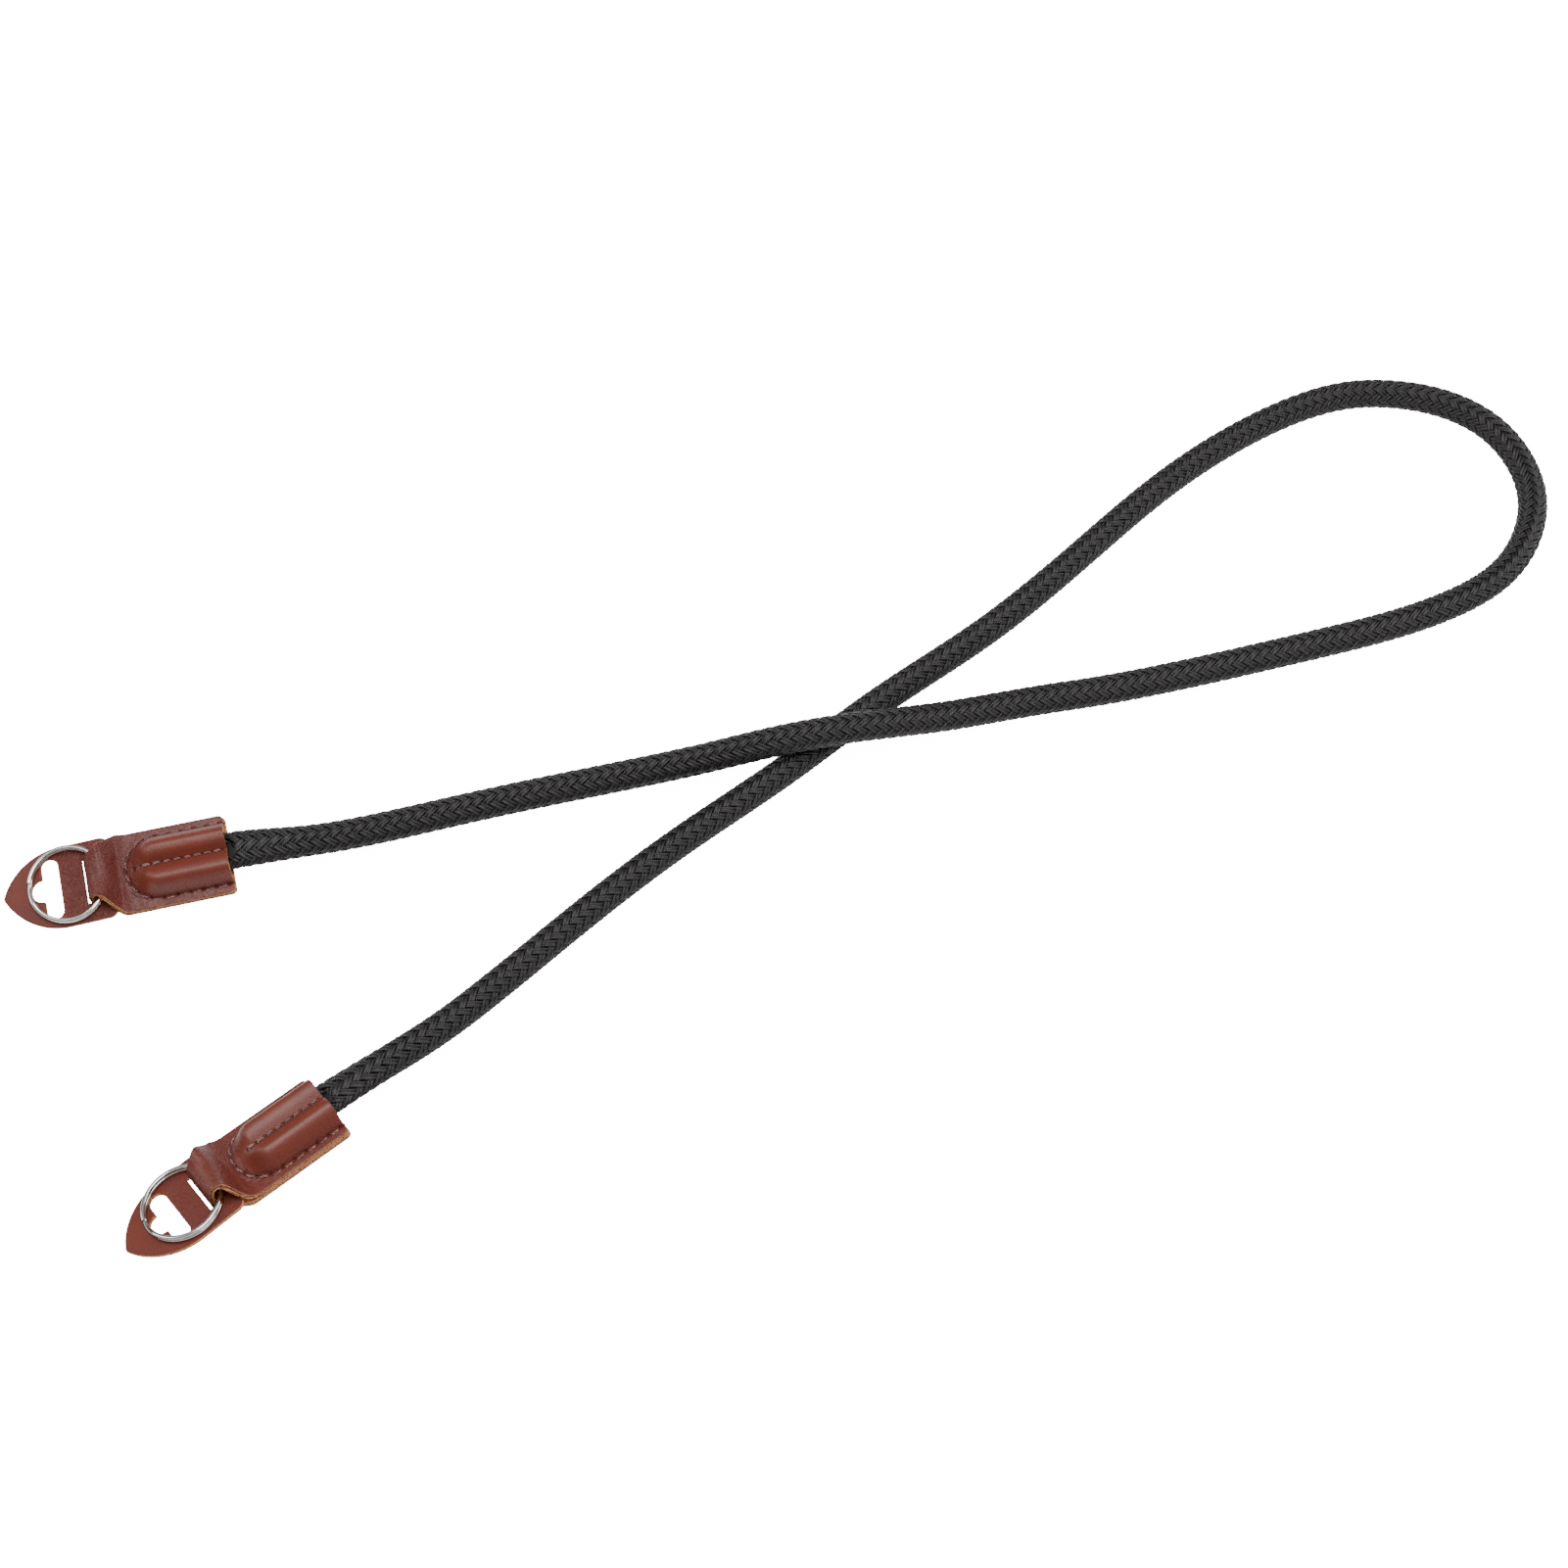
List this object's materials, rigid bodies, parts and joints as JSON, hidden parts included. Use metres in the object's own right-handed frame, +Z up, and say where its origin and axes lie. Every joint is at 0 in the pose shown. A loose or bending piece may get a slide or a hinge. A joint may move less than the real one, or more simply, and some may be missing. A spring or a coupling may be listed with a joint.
{
  "type": "camera strap",
  "caption": "Braided rope strap with a folded leather tab, a swinging split ring and a leaf-shaped leather guard at each end, lying crossed over itself.",
  "frame": {"origin": "on the floor, at the middle of the box round the two ends without the rope", "axes": "+Z up from the floor, +X from the ends towards the rope's loop, +Y from the lower end towards the upper one"},
  "size_m": [0.503, 0.3211, 0.0201],
  "materials": {
    "braid": "matt round braid of fine synthetic strands",
    "tab_leather": "red-brown grained leather, half matt, with raw tan edges",
    "guard_leather": "red-brown leather, half matt, with raw tan edges",
    "ring_metal": "polished nickel-plated wire"
  },
  "bodies": {
    "strap": {"rope": "braid", "upper_tab": "tab_leather", "lower_tab": "tab_leather", "upper_guard": "guard_leather", "lower_guard": "guard_leather"},
    "upper_split_ring": {"upper_ring": "ring_metal"},
    "lower_split_ring": {"lower_ring": "ring_metal"}
  },
  "joints": [
    {"name": "upper_ring_swing", "type": "hinge", "parent": "strap", "child": "upper_split_ring", "pos_m": [-0.02619, 0.05099, 0.00807], "axis": [-0.225, 0.9519, 0.2079], "range_deg": [0, 55]},
    {"name": "lower_ring_swing", "type": "hinge", "parent": "strap", "child": "lower_split_ring", "pos_m": [0.01941, -0.04918, 0.00914], "axis": [-0.6217, 0.7449, -0.2419], "range_deg": [0, 55]}
  ]
}
